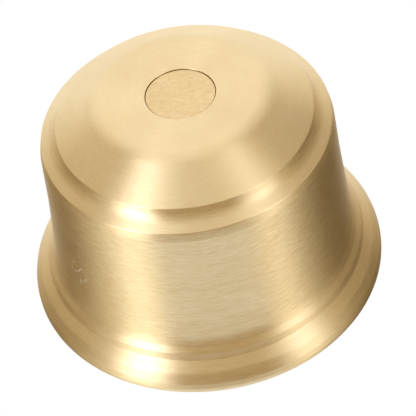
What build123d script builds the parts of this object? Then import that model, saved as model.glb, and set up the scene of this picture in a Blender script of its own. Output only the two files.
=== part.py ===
"""Compact water pressure regulator: a bell-shaped bonnet over a diaphragm valve with two ports underneath.

The origin is the centre of the underside, +Z is up and all lengths are millimetres.
"""
import os
from math import cos, pi, radians, sin, sqrt

from build123d import *

os.makedirs("parts", exist_ok=True)

# Overall size
flange_radius = 32.0
bell_height = 41.5

# Outer shape of the bell, from the crown down
crown_flat_radius = 13.6
crown_edge_radius = 15.1
crown_edge_drop = 0.45
cone_foot = (22.35, 36.9)
cove_dip = (23.6, 35.15)
shoulder = (25.35, 33.9)
wall_top = (25.7, 32.3)
wall_middle = (26.15, 23.0)
wall_foot = (26.95, 12.6)
sweep_middle = (27.45, 8.6)
step_edge = (28.35, 5.95)
groove_floor = (28.95, 5.45)
lip_start = (29.5, 5.3)
lip_middle = (31.2, 3.85)
rim_height = 1.2
rim_bevel = 0.35

# Inside of the bell
bore_radius = 24.0
ledge_height = 18.1
chamber_radius = 22.8
chamber_wall_height = 31.2
chamber_shoulder = (20.4, 34.3)
ceiling_radius = 13.6
ceiling_height = 38.4
relief_inner_radius = 26.0
relief_outer_radius = 29.6
relief_depth = 2.6

# Plug and adjusting screw on the bell's axis
plug_radius = 6.0
plug_gap = 0.1
plug_recess = 0.15
plug_thickness = 2.0
plug_ring_wire = 0.42
plug_edge_break = 0.08
plug_hollow_radius = 3.0
plug_hollow_depth = 0.8
screw_radius = 3.97
screw_hole_radius = 4.03
screw_top = 39.0
screw_bottom = 30.4
screw_pitch = 1.25
screw_end_chamfer = 0.5
screw_socket = 4.0
screw_socket_depth = 3.5
boss_radius = 6.5
boss_bottom = 31.5
ball_radius = 1.6
ball_centre = 29.8

# Spring cap, range spring and plate
cap_cup_inner_radius = 7.2
cap_cup_outer_radius = 8.4
cap_floor = 28.0
cap_floor_thickness = 1.2
cap_flange_bottom = 33.0
cap_flange_top = 34.2
cap_rim_radius = 12.4
cap_rim_wall = 0.7
cap_skirt_depth = 1.2
cap_rim_rounding = 0.6
spring_mean_radius = 10.4
spring_wire = 1.8
spring_turns = 4.5
plate_bottom = 17.3
plate_top = 18.5
plate_radius = 12.3
plate_rim_wall = 0.7
plate_rim_height = 1.5
plate_rounding = 0.5

# Diaphragm and its clamp
diaphragm_bottom = 16.5
diaphragm_thickness = 0.8
diaphragm_radius = 23.7
fold_inner_radius = 12.8
fold_outer_radius = 19.6
fold_rise = 2.8
fold_root_rounding = 0.2
slip_ring_inner_radius = 20.4
slip_ring_thickness = 0.8
button_radius = 10.8
button_thickness = 0.9
button_rounding = 0.4

# Body
body_radius = 23.95
body_top = 16.5
outlet_chamber_radius = 20.4
outlet_chamber_floor = 14.0
port_offset = 14.2
port_radius = 7.6
port_depth = 8.3
port_chamfer = 0.6
strainer_seat_radius = 6.6
strainer_seat_top = 9.6
inlet_pocket_radius = 5.6
inlet_pocket_top = 11.4
inlet_passage_radius = 0.9
inlet_passage_height = 10.5
inlet_passage_spread = 12.0
outlet_passage_radius = 3.0
valve_bore_radius = 5.0
seat_bore_radius = 6.0
seat_bore_bottom = 12.0
mount_hole_radius = 1.65
mount_hole_depth = 8.0
mount_hole_offset = 17.0
body_ring_height = 12.6
body_ring_groove_floor = 22.15
body_ring_groove_width = 2.2
body_ring_wire = 0.88
body_ring_gap = 0.07

# Valve
stem_radius = 1.25
stem_collar_radius = 2.1
stem_collar_thickness = 0.7
stem_bottom = 5.4
stem_top = 22.0
orifice_radius = 2.6
seat_lip_radius = 3.3
seat_lip_bottom = 11.5
seat_lip_taper = 30
seat_hex_across = 12.4
seat_hex_top = 15.2
seat_ring_height = 13.3
seat_ring_wire = 0.42
holder_radius = 4.3
holder_bottom = 7.2
holder_top = 10.3
rubber_radius = 3.5
rubber_bottom = 8.9
lower_nut_across = 5.0
lower_nut_bottom = 5.6
return_spring_radius = 3.65
return_spring_wire = 0.6
return_spring_turns = 3.5
upper_nut_across = 5.5
upper_nut_height = 2.4
washer_radius = 3.3
washer_thickness = 0.5

# Bottom plug, strainer and its ring
bottom_plug_recess = 0.4
bottom_plug_top = 3.6
bottom_plug_socket = 4.0
bottom_plug_socket_depth = 1.7
bottom_plug_ring_height = 2.75
bottom_plug_ring_wire = 0.42
strainer_thickness = 0.4
strainer_pitch = 1.5
strainer_hole_radius = 0.5
strainer_rim = 0.9
clip_bottom = 8.5
clip_top = 9.15
clip_inner_radius = 5.5
clip_gap = 3.0

# Clearances
same_body_gap = 0.02
groove_gap = 0.05
edge_break = 0.3
nut_chamfer = 0.2


def save(piece, node):
    """Labels the finished piece and writes its STEP file."""
    piece.part.label = node
    export_step(piece.part, f"parts/{node}.step")
    print(f"{node:24s} {piece.part.volume:10.1f} mm3")


def ring_groove(height, floor_radius, mouth_radius, width):
    """Cuts a square groove for a sealing ring around the Z axis in the part being built."""
    with BuildSketch(Plane.XZ) as groove:
        with Locations(((floor_radius + mouth_radius) / 2, height)):
            Rectangle(mouth_radius - floor_radius, width)
    revolve(groove.sketch, axis=Axis.Z, mode=Mode.SUBTRACT)


def sealing_ring(node, height, mean_radius, wire):
    """Round-section rubber ring lying flat around the Z axis."""
    with BuildPart() as ring:
        with BuildSketch(Plane.XZ):
            with Locations((mean_radius, height)):
                Circle(wire)
        revolve(axis=Axis.Z)
    save(ring, node)


def coil_spring(node, bottom, top, mean_radius, wire_diameter, turns):
    """Round-wire compression spring standing on the Z axis between two heights."""
    rise = top - bottom - wire_diameter - 2 * groove_gap
    start = bottom + wire_diameter / 2 + groove_gap
    with BuildPart() as spring:
        with BuildLine() as path:
            Helix(pitch=rise / turns, height=rise, radius=mean_radius, center=(0, 0, start))
        with BuildSketch(Plane(origin=path.line @ 0, z_dir=path.line % 0)):
            Circle(wire_diameter / 2)
        sweep(is_frenet=True)
    save(spring, node)


def hex_nut(node, bottom, height, across, hole_radius):
    """Hexagon nut around the Z axis."""
    with BuildPart() as nut:
        with BuildSketch(Plane.XY.offset(bottom)):
            RegularPolygon(across / 2, 6, major_radius=False)
            Circle(hole_radius, mode=Mode.SUBTRACT)
        extrude(amount=height)
        chamfer(nut.edges().filter_by(GeomType.CIRCLE), length=nut_chamfer)
    save(nut, node)


def make_bell():
    """Bonnet: crown, cone, cove, straight wall and flange lip, bored out from below."""
    crown = (crown_edge_radius, bell_height - crown_edge_drop)
    rim = (flange_radius, rim_height)
    counterbore = plug_radius + plug_gap
    counterbore_floor = bell_height - plug_recess - plug_thickness
    with BuildPart() as bell:
        with BuildSketch(Plane.XZ) as section:
            with BuildLine():
                Line((counterbore, bell_height), (crown_flat_radius, bell_height))
                flat_end = (crown_flat_radius, bell_height)
                TangentArc(flat_end, crown, tangent=(1, 0))
                Line(crown, cone_foot)
                Spline(cone_foot, cove_dip, shoulder, tangents=((0.45, -1), (1, -0.28)))
                TangentArc(wall_top, shoulder, tangent=(-0.03, 1))
                Spline(wall_top, wall_middle, wall_foot, sweep_middle, step_edge,
                       tangents=((0.03, -1), (0.75, -1)))
                Line(step_edge, groove_floor)
                Line(groove_floor, lip_start)
                ThreePointArc(lip_start, lip_middle, rim)
                Line(rim, (flange_radius, rim_bevel))
                Line((flange_radius, rim_bevel), (flange_radius - rim_bevel, 0))
                Line((flange_radius - rim_bevel, 0), (relief_outer_radius, 0))
                Line((relief_outer_radius, 0), (relief_outer_radius, relief_depth))
                Line((relief_outer_radius, relief_depth), (relief_inner_radius, relief_depth))
                Line((relief_inner_radius, relief_depth), (relief_inner_radius, 0))
                Line((relief_inner_radius, 0), (bore_radius + edge_break, 0))
                Line((bore_radius + edge_break, 0), (bore_radius, edge_break))
                Line((bore_radius, edge_break), (bore_radius, ledge_height))
                Line((bore_radius, ledge_height), (chamber_radius, ledge_height))
                Line((chamber_radius, ledge_height), (chamber_radius, chamber_wall_height))
                Line((chamber_radius, chamber_wall_height), chamber_shoulder)
                Line(chamber_shoulder, (ceiling_radius, ceiling_height))
                Line((ceiling_radius, ceiling_height), (boss_radius, ceiling_height))
                Line((boss_radius, ceiling_height), (boss_radius, boss_bottom))
                Line((boss_radius, boss_bottom), (screw_hole_radius, boss_bottom))
                Line((screw_hole_radius, boss_bottom), (screw_hole_radius, counterbore_floor))
                Line((screw_hole_radius, counterbore_floor), (counterbore, counterbore_floor))
                Line((counterbore, counterbore_floor), (counterbore, bell_height))
            make_face()
        revolve(axis=Axis.Z)
    save(bell, "bell_housing")


def make_top_plug():
    """Push-in disc that closes the screw hole, with its friction ring in the edge."""
    top = bell_height - plug_recess
    bottom = top - plug_thickness
    ring_height = bottom + plug_thickness / 2
    groove_floor_radius = plug_radius + plug_gap - 2 * plug_ring_wire - groove_gap
    groove_width = 2 * plug_ring_wire + 2 * groove_gap
    with BuildPart() as plug:
        with BuildSketch(Plane.XY.offset(bottom)):
            Circle(plug_radius)
        extrude(amount=plug_thickness)
        chamfer(plug.edges().group_by(Axis.Z)[0], length=edge_break)
        chamfer(plug.edges().group_by(Axis.Z)[-1], length=plug_edge_break)
        ring_groove(ring_height, groove_floor_radius - groove_gap, plug_radius + 1, groove_width)
        with BuildSketch(Plane.XY.offset(bottom)):
            Circle(plug_hollow_radius)
        extrude(amount=plug_hollow_depth, mode=Mode.SUBTRACT)
    save(plug, "top_plug")
    ring_mean = groove_floor_radius + plug_ring_wire
    sealing_ring("top_plug_ring", ring_height, ring_mean, plug_ring_wire - groove_gap)


def make_adjusting_screw():
    """Grub screw with a hexagon socket above and a ball dimple below."""
    with BuildPart() as screw:
        with BuildSketch(Plane.XY.offset(screw_bottom)):
            Circle(screw_radius)
        extrude(amount=screw_top - screw_bottom)
        chamfer(screw.edges().filter_by(GeomType.CIRCLE), length=screw_end_chamfer)
        with BuildSketch(Plane.XY.offset(screw_top)):
            RegularPolygon(screw_socket / 2, 6, major_radius=False)
        extrude(amount=-screw_socket_depth, mode=Mode.SUBTRACT)
        with Locations((0, 0, ball_centre)):
            Sphere(ball_radius + same_body_gap, mode=Mode.SUBTRACT)
    save(screw, "adjusting_screw")


def make_thrust_ball():
    """Steel ball between the adjusting screw and the spring cap."""
    with BuildPart() as ball:
        with Locations((0, 0, ball_centre)):
            Sphere(ball_radius)
    save(ball, "thrust_ball")


def make_spring_cap():
    """Upper spring seat: a deep cup that the screw presses, with a flange on the spring."""
    floor_top = cap_floor + cap_floor_thickness
    skirt_radius = cap_rim_radius - cap_rim_wall
    skirt_bottom = cap_flange_bottom - cap_skirt_depth
    with BuildPart() as cap:
        with BuildSketch(Plane.XZ):
            with BuildLine():
                Polyline(
                    (0, cap_floor),
                    (cap_cup_outer_radius, cap_floor),
                    (cap_cup_outer_radius, cap_flange_bottom),
                    (skirt_radius, cap_flange_bottom),
                    (skirt_radius, skirt_bottom),
                    (cap_rim_radius, skirt_bottom),
                    (cap_rim_radius, cap_flange_top),
                    (cap_cup_inner_radius, cap_flange_top),
                    (cap_cup_inner_radius, floor_top),
                    (0, floor_top),
                    close=True,
                )
            make_face()
        revolve(axis=Axis.Z)
        top_edges = cap.edges().filter_by(GeomType.CIRCLE).group_by(Axis.Z)[-1]
        fillet(top_edges.sort_by(SortBy.RADIUS)[-1], radius=cap_rim_rounding)
        with Locations((0, 0, ball_centre)):
            Sphere(ball_radius + same_body_gap, mode=Mode.SUBTRACT)
    save(cap, "spring_cap")


def make_diaphragm_plate():
    """Lower spring seat above the diaphragm, with a low rim that centres the spring."""
    with BuildPart() as plate:
        with BuildSketch(Plane.XY.offset(plate_bottom)):
            Circle(plate_radius)
            Circle(stem_radius + same_body_gap, mode=Mode.SUBTRACT)
        extrude(amount=plate_top - plate_bottom)
        with BuildSketch(Plane.XY.offset(plate_top)):
            Circle(plate_radius)
            Circle(plate_radius - plate_rim_wall, mode=Mode.SUBTRACT)
        extrude(amount=plate_rim_height)
        fillet(plate.edges().group_by(Axis.Z)[0].sort_by(SortBy.RADIUS)[-1], radius=plate_rounding)
    save(plate, "diaphragm_plate")


def make_diaphragm():
    """Rubber diaphragm: flat centre and rim joined by one rolled fold."""
    top = diaphragm_bottom + diaphragm_thickness
    fold_middle = (fold_inner_radius + fold_outer_radius) / 2
    hole = stem_radius + same_body_gap
    inner_top = fold_inner_radius - fold_root_rounding
    outer_top = fold_outer_radius + fold_root_rounding
    with BuildPart() as diaphragm:
        with BuildSketch(Plane.XZ):
            with BuildLine():
                Line((hole, diaphragm_bottom), (fold_inner_radius, diaphragm_bottom))
                ThreePointArc((fold_inner_radius, diaphragm_bottom),
                              (fold_middle, diaphragm_bottom + fold_rise),
                              (fold_outer_radius, diaphragm_bottom))
                Line((fold_outer_radius, diaphragm_bottom), (diaphragm_radius, diaphragm_bottom))
                Line((diaphragm_radius, diaphragm_bottom), (diaphragm_radius, top))
                Line((diaphragm_radius, top), (outer_top, top))
                ThreePointArc((outer_top, top), (fold_middle, top + fold_rise), (inner_top, top))
                Line((inner_top, top), (hole, top))
                Line((hole, top), (hole, diaphragm_bottom))
            make_face()
        revolve(axis=Axis.Z)
    save(diaphragm, "diaphragm")


def make_clamp_pieces():
    """Slip ring over the diaphragm's rim and the button under its centre."""
    ring_bottom = diaphragm_bottom + diaphragm_thickness
    with BuildPart() as ring:
        with BuildSketch(Plane.XY.offset(ring_bottom)):
            Circle(diaphragm_radius)
            Circle(slip_ring_inner_radius, mode=Mode.SUBTRACT)
        extrude(amount=slip_ring_thickness)
    save(ring, "slip_ring")
    with BuildPart() as button:
        with BuildSketch(Plane.XY.offset(diaphragm_bottom - button_thickness)):
            Circle(button_radius)
            Circle(stem_radius + same_body_gap, mode=Mode.SUBTRACT)
        extrude(amount=button_thickness)
        fillet(button.edges().group_by(Axis.Z)[0].sort_by(SortBy.RADIUS)[-1], radius=button_rounding)
    save(button, "diaphragm_button")


def make_body():
    """Round valve body with both ports, the valve bore and two mounting holes in its underside."""
    with BuildPart() as body:
        with BuildSketch(Plane.XY):
            Circle(body_radius)
        extrude(amount=body_top)
        chamfer(body.edges().group_by(Axis.Z)[0], length=edge_break)
        with BuildSketch(Plane.XY.offset(body_top)):
            Circle(outlet_chamber_radius)
        extrude(amount=outlet_chamber_floor - body_top, mode=Mode.SUBTRACT)
        with BuildSketch(Plane.XY):
            with Locations((-port_offset, 0), (port_offset, 0)):
                Circle(port_radius)
        extrude(amount=port_depth, mode=Mode.SUBTRACT)
        with BuildSketch(Plane.XY):
            Circle(valve_bore_radius)
        extrude(amount=seat_bore_bottom, mode=Mode.SUBTRACT)
        mouths = body.edges().filter_by(GeomType.CIRCLE).group_by(Axis.Z)[0].sort_by(SortBy.RADIUS)
        chamfer(mouths[0], length=edge_break)
        chamfer(mouths[1:3], length=port_chamfer)
        with BuildSketch(Plane.XY.offset(seat_bore_bottom)):
            Circle(seat_bore_radius)
        extrude(amount=outlet_chamber_floor - seat_bore_bottom, mode=Mode.SUBTRACT)
        with BuildSketch(Plane.XY.offset(port_depth)):
            with Locations((-port_offset, 0)):
                Circle(strainer_seat_radius)
        extrude(amount=strainer_seat_top - port_depth, mode=Mode.SUBTRACT)
        with BuildSketch(Plane.XY.offset(strainer_seat_top)):
            with Locations((-port_offset, 0)):
                Circle(inlet_pocket_radius)
        extrude(amount=inlet_pocket_top - strainer_seat_top, mode=Mode.SUBTRACT)
        for turn in (-inlet_passage_spread, 0, inlet_passage_spread):
            direction = (cos(radians(turn)), sin(radians(turn)), 0)
            with BuildSketch(Plane(origin=(-port_offset, 0, inlet_passage_height), z_dir=direction)):
                Circle(inlet_passage_radius)
            extrude(amount=port_offset, mode=Mode.SUBTRACT)
        with BuildSketch(Plane.XY.offset(port_depth)):
            with Locations((port_offset, 0)):
                Circle(outlet_passage_radius)
        extrude(amount=outlet_chamber_floor - port_depth, mode=Mode.SUBTRACT)
        with BuildSketch(Plane.XY):
            with Locations((0, -mount_hole_offset), (0, mount_hole_offset)):
                Circle(mount_hole_radius)
        extrude(amount=mount_hole_depth, mode=Mode.SUBTRACT)
        ring_groove(body_ring_height, body_ring_groove_floor, body_radius + 1, body_ring_groove_width)
    save(body, "base_body")
    sealing_ring("body_ring", body_ring_height, bore_radius - body_ring_gap - body_ring_wire, body_ring_wire)


def make_valve_seat():
    """Screwed-in seat: a lip below, a hexagon above and a sealing ring between them."""
    shank = seat_bore_radius - same_body_gap
    ring_mean = seat_bore_radius - same_body_gap - seat_ring_wire
    groove_floor_radius = ring_mean - seat_ring_wire - groove_gap
    with BuildPart() as seat:
        with BuildSketch(Plane.XY.offset(seat_bore_bottom)):
            Circle(shank)
        extrude(amount=outlet_chamber_floor - seat_bore_bottom)
        with BuildSketch(Plane.XY.offset(outlet_chamber_floor)):
            RegularPolygon(seat_hex_across / 2, 6, major_radius=False)
        extrude(amount=seat_hex_top - outlet_chamber_floor)
        with BuildSketch(Plane.XY.offset(seat_lip_bottom)):
            Circle(seat_lip_radius)
        extrude(amount=seat_bore_bottom - seat_lip_bottom, taper=-seat_lip_taper)
        with BuildSketch(Plane.XY.offset(seat_lip_bottom)):
            Circle(orifice_radius)
        extrude(amount=seat_hex_top - seat_lip_bottom, mode=Mode.SUBTRACT)
        ring_groove(seat_ring_height, groove_floor_radius, shank + 1, 2 * seat_ring_wire + 2 * groove_gap)
    save(seat, "valve_seat")
    sealing_ring("valve_seat_ring", seat_ring_height, ring_mean, seat_ring_wire - groove_gap)


def make_stem():
    """Stem that joins the diaphragm to the valve disc through the seat's orifice."""
    collar_top = diaphragm_bottom - button_thickness
    with BuildPart() as stem:
        with BuildSketch(Plane.XY.offset(stem_bottom)):
            Circle(stem_radius)
        extrude(amount=stem_top - stem_bottom)
        chamfer(stem.edges().filter_by(GeomType.CIRCLE), length=edge_break)
        with BuildSketch(Plane.XY.offset(collar_top - stem_collar_thickness)):
            Circle(stem_collar_radius)
        extrude(amount=stem_collar_thickness)
    save(stem, "valve_stem")


def make_poppet():
    """Valve disc holder and the rubber disc let into its top."""
    hole = stem_radius + same_body_gap
    with BuildPart() as holder:
        with BuildSketch(Plane.XY.offset(holder_bottom)):
            Circle(holder_radius)
            Circle(hole, mode=Mode.SUBTRACT)
        extrude(amount=holder_top - holder_bottom)
        with BuildSketch(Plane.XY.offset(rubber_bottom)):
            Circle(rubber_radius + same_body_gap)
        extrude(amount=holder_top - rubber_bottom, mode=Mode.SUBTRACT)
        chamfer(holder.edges().group_by(Axis.Z)[0].sort_by(SortBy.RADIUS)[-1], length=edge_break)
    save(holder, "poppet_holder")
    with BuildPart() as rubber:
        with BuildSketch(Plane.XY.offset(rubber_bottom)):
            Circle(rubber_radius)
            Circle(hole, mode=Mode.SUBTRACT)
        extrude(amount=holder_top - rubber_bottom)
    save(rubber, "seat_disc")


def make_bottom_plug():
    """Plug that closes the valve bore, with a hexagon socket below and a sealing ring."""
    outer = valve_bore_radius - same_body_gap
    ring_mean = outer - bottom_plug_ring_wire
    groove_floor_radius = ring_mean - bottom_plug_ring_wire - groove_gap
    groove_width = 2 * bottom_plug_ring_wire + 2 * groove_gap
    with BuildPart() as plug:
        with BuildSketch(Plane.XY.offset(bottom_plug_recess)):
            Circle(outer)
        extrude(amount=bottom_plug_top - bottom_plug_recess)
        chamfer(plug.edges().filter_by(GeomType.CIRCLE), length=edge_break)
        with BuildSketch(Plane.XY.offset(bottom_plug_recess)):
            RegularPolygon(bottom_plug_socket / 2, 6, major_radius=False)
        extrude(amount=bottom_plug_socket_depth, mode=Mode.SUBTRACT)
        ring_groove(bottom_plug_ring_height, groove_floor_radius, outer + 1, groove_width)
    save(plug, "bottom_plug")
    sealing_ring("bottom_plug_ring", bottom_plug_ring_height, ring_mean, bottom_plug_ring_wire - groove_gap)


def make_strainer():
    """Perforated strainer disc at the top of the inlet port and the spring clip that holds it."""
    disc_radius = strainer_seat_radius - same_body_gap
    reach = disc_radius - strainer_rim
    rows = int(reach / strainer_pitch) + 1
    row_height = strainer_pitch * sqrt(3) / 2
    holes = []
    for row in range(-rows - 1, rows + 2):
        for column in range(-rows - 1, rows + 2):
            x = (column + row % 2 / 2) * strainer_pitch
            y = row * row_height
            if sqrt(x * x + y * y) + strainer_hole_radius <= reach:
                holes.append((x - port_offset, y))
    with BuildPart() as disc:
        with BuildSketch(Plane.XY.offset(strainer_seat_top - strainer_thickness)):
            with Locations((-port_offset, 0)):
                Circle(disc_radius)
            with Locations(*holes):
                Circle(strainer_hole_radius, mode=Mode.SUBTRACT)
        extrude(amount=strainer_thickness)
    save(disc, "inlet_strainer")
    with BuildPart() as clip:
        with BuildSketch(Plane.XY.offset(clip_bottom)):
            with Locations((-port_offset, 0)):
                Circle(disc_radius)
                Circle(clip_inner_radius, mode=Mode.SUBTRACT)
            with Locations((-port_offset, -disc_radius)):
                Rectangle(clip_gap, disc_radius, mode=Mode.SUBTRACT)
        extrude(amount=clip_top - clip_bottom)
    save(clip, "strainer_clip")


def make_stem_hardware():
    """The two nuts and the washer on the stem."""
    hole = stem_radius + same_body_gap
    hex_nut("poppet_nut", lower_nut_bottom, holder_bottom - lower_nut_bottom, lower_nut_across, hole)
    hex_nut("stem_nut", plate_top + washer_thickness, upper_nut_height, upper_nut_across, hole)
    with BuildPart() as washer:
        with BuildSketch(Plane.XY.offset(plate_top)):
            Circle(washer_radius)
            Circle(hole, mode=Mode.SUBTRACT)
        extrude(amount=washer_thickness)
    save(washer, "lock_washer")


def make_springs():
    """Return spring under the valve disc and range spring over the diaphragm."""
    coil_spring("return_spring", bottom_plug_top, holder_bottom, return_spring_radius,
                return_spring_wire, return_spring_turns)
    coil_spring("range_spring", plate_top, cap_flange_bottom, spring_mean_radius, spring_wire, spring_turns)


make_body()
make_valve_seat()
make_bottom_plug()
make_strainer()
make_stem()
make_poppet()
make_stem_hardware()
make_clamp_pieces()
make_diaphragm()
make_diaphragm_plate()
make_springs()
make_spring_cap()
make_thrust_ball()
make_adjusting_screw()
make_top_plug()
make_bell()
print(f"screw pitch {screw_pitch} mm, {screw_pitch / (2 * pi):.5f} mm per radian")
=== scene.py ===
import math

import bpy
from mathutils import Matrix, Vector


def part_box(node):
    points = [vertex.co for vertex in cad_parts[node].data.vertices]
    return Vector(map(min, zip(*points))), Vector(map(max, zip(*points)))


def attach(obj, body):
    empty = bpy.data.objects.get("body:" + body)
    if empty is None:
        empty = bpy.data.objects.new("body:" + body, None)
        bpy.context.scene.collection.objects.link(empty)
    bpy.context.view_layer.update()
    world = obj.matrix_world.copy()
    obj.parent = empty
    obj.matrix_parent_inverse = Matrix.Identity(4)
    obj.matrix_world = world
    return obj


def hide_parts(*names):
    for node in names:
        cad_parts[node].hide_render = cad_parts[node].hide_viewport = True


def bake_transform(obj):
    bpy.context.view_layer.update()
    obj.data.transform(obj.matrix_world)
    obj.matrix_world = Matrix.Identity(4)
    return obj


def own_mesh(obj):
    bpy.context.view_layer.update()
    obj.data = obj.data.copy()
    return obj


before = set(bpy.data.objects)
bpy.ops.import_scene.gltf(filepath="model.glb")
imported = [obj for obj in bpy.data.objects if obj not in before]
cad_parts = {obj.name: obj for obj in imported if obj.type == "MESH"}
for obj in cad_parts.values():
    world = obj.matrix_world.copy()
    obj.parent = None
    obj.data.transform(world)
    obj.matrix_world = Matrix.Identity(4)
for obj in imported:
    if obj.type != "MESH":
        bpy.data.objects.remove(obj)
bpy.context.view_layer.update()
print("frame loaded")

mm = 0.001
weld = 0.0005 * mm     # points nearer than this are merged
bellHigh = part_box("bell_housing")[1]
flangeRadius = bellHigh.x / mm      # the sizes below are in millimetres
bellHeight = bellHigh.z / mm


def startClean():
    if bpy.context.object and bpy.context.object.mode != "OBJECT":
        bpy.ops.object.mode_set(mode="OBJECT")
    bpy.ops.object.select_all(action="DESELECT")


def pickOnly(piece):
    startClean()
    piece.select_set(True)
    bpy.context.view_layer.objects.active = piece


def nameIt(piece, name):
    piece.name = name
    piece.data.name = name


def roundedOutline(corners, segmentAngle=7.0):
    # corners are (radius, height, rounding); each rounding becomes a true arc
    outline = []
    last = len(corners) - 1
    for index, (r, z, rounding) in enumerate(corners):
        here = Vector((r, z))
        if rounding == 0 or index in (0, last):
            outline.append(here)
            continue
        before = (Vector(corners[index - 1][:2]) - here).normalized()
        after = (Vector(corners[index + 1][:2]) - here).normalized()
        half = before.angle(after) / 2
        turn = math.pi - 2 * half
        reach = rounding / math.tan(half)
        middle = here + (before + after).normalized() * rounding / math.sin(half)
        start = here + before * reach - middle
        steps = max(2, math.ceil(math.degrees(turn) / segmentAngle))
        side = 1 if before.cross(after) < 0 else -1
        for step in range(steps + 1):
            outline.append(middle + Matrix.Rotation(side * turn * step / steps, 2) @ start)
    return outline


def lathe(name, corners, steps=96, centre=(0, 0), angle=360, start=0.37):
    # one vertex is extruded along the outline, then the line is spun round the vertical;
    # the small start angle keeps its edges off the edges of what is cut from it
    outline = roundedOutline(corners)
    startClean()
    first = outline[0]
    bpy.ops.mesh.primitive_plane_add(size=mm, location=(first.x * mm, 0, first.y * mm))
    piece = bpy.context.object
    nameIt(piece, name)
    bpy.ops.object.transform_apply(location=True, rotation=True, scale=True)
    bpy.ops.object.mode_set(mode="EDIT")
    bpy.ops.mesh.select_all(action="SELECT")
    bpy.ops.mesh.merge(type="CENTER")
    for here, there in zip(outline, outline[1:]):
        move = ((there.x - here.x) * mm, 0, (there.y - here.y) * mm)
        bpy.ops.mesh.extrude_region_move(TRANSFORM_OT_translate={"value": move})
    bpy.ops.mesh.select_all(action="SELECT")
    if angle < 360:
        bpy.ops.mesh.remove_doubles(threshold=weld)
        bpy.ops.mesh.edge_face_add()
    bpy.ops.mesh.spin(steps=steps, angle=math.radians(angle), center=(0, 0, 0), axis=(0, 0, 1))
    bpy.ops.mesh.select_all(action="SELECT")
    bpy.ops.mesh.remove_doubles(threshold=weld)
    bpy.ops.transform.rotate(value=math.radians(start), orient_axis="Z", center_override=(0, 0, 0))
    if centre != (0, 0):
        bpy.ops.transform.translate(value=(centre[0] * mm, centre[1] * mm, 0))
    bpy.ops.mesh.normals_make_consistent(inside=False)
    bpy.ops.object.mode_set(mode="OBJECT")
    return piece


def threadRidge(name, rootRadius, crestRadius, pitch, bottom, turns, centre=(0, 0), steps=96):
    # a trapezoid is wound up the vertical with the Screw modifier, its root sunk into the metal
    crest = 0.12 * pitch
    foot = 0.46 * pitch
    sunkRoot = rootRadius + math.copysign(0.05, rootRadius - crestRadius)
    middle = (rootRadius + crestRadius) / 2
    startClean()
    bpy.ops.mesh.primitive_plane_add(size=mm, location=(middle * mm, 0, bottom * mm),
                                     rotation=(math.pi / 2, 0, 0))
    ridge = bpy.context.object
    nameIt(ridge, name)
    bpy.ops.object.transform_apply(location=True, rotation=True, scale=True)
    for corner in ridge.data.vertices:
        outer = corner.co.x > middle * mm
        onCrest = outer == (crestRadius > rootRadius)
        high = 1 if corner.co.z > bottom * mm else -1
        corner.co.x = (crestRadius if onCrest else sunkRoot) * mm
        corner.co.z = (bottom + high * (crest if onCrest else foot)) * mm
    screw = ridge.modifiers.new("winding", "SCREW")
    screw.axis = "Z"
    screw.angle = 2 * math.pi
    screw.screw_offset = pitch * mm
    screw.iterations = turns
    screw.steps = steps
    screw.render_steps = steps
    pickOnly(ridge)
    bpy.ops.object.modifier_apply(modifier=screw.name)
    bpy.ops.object.mode_set(mode="EDIT")
    bpy.ops.mesh.select_all(action="SELECT")
    bpy.ops.mesh.remove_doubles(threshold=weld)
    bpy.ops.mesh.fill_holes(sides=4)
    bpy.ops.mesh.select_all(action="SELECT")
    bpy.ops.transform.translate(value=(centre[0] * mm, centre[1] * mm, 0))
    bpy.ops.mesh.normals_make_consistent(inside=False)
    bpy.ops.object.mode_set(mode="OBJECT")
    return ridge


def joinTo(piece, *others):
    startClean()
    for other in others:
        other.select_set(True)
    piece.select_set(True)
    bpy.context.view_layer.objects.active = piece
    bpy.ops.object.join()


def carve(piece, *cutters, operation="DIFFERENCE"):
    for cutter in cutters:
        cut = piece.modifiers.new("cut", "BOOLEAN")
        cut.object = cutter
        cut.operation = operation
        cut.solver = "EXACT"
        pickOnly(piece)
        bpy.ops.object.modifier_apply(modifier=cut.name)
        pickOnly(cutter)
        bpy.ops.object.delete()


def prism(name, sides, radius, bottom, top):
    startClean()
    bpy.ops.mesh.primitive_cylinder_add(vertices=sides, radius=radius * mm, depth=(top - bottom) * mm,
                                        location=(0, 0, (bottom + top) / 2 * mm))
    piece = bpy.context.object
    nameIt(piece, name)
    bpy.ops.object.transform_apply(location=True, rotation=True, scale=True)
    return piece


def crossDrill(name, radius, height, fromX, toX, turned):
    # a long drill shape lying along a passage that starts at fromX
    startClean()
    length = toX - fromX
    bpy.ops.mesh.primitive_cylinder_add(vertices=24, radius=radius * mm, depth=length * mm,
                                        location=(0, 0, length / 2 * mm))
    drill = bpy.context.object
    nameIt(drill, name)
    bpy.ops.object.transform_apply(location=True, rotation=True, scale=True)
    drill.rotation_euler = (0, math.pi / 2, math.radians(turned))
    drill.location = (fromX * mm, 0, height * mm)
    bpy.ops.object.transform_apply(location=True, rotation=True, scale=True)
    return drill


def finishPiece(piece, body, replaced, material, angle=35):
    pickOnly(piece)
    bpy.ops.object.shade_smooth_by_angle(angle=math.radians(angle))
    piece.data.materials.clear()
    piece.data.materials.append(material)
    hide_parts(replaced)
    if body:
        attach(piece, body)
    print(piece.name, "made")


def addNode(tree, kind, inputs, **settings):
    node = tree.nodes.new(kind)
    for setting, value in settings.items():
        setattr(node, setting, value)
    for socket, value in inputs.items():
        if isinstance(value, bpy.types.NodeSocket):
            tree.links.new(value, node.inputs[socket])
        else:
            node.inputs[socket].default_value = value
    return node


def math2(tree, operation, a, b=0.0, c=0.0):
    return addNode(tree, "ShaderNodeMath", {0: a, 1: b, 2: c}, operation=operation).outputs[0]


def mixColour(tree, factor, a, b):
    node = addNode(tree, "ShaderNodeMix", {0: factor, 6: a, 7: b}, data_type="RGBA")
    return node.outputs[2]


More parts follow.
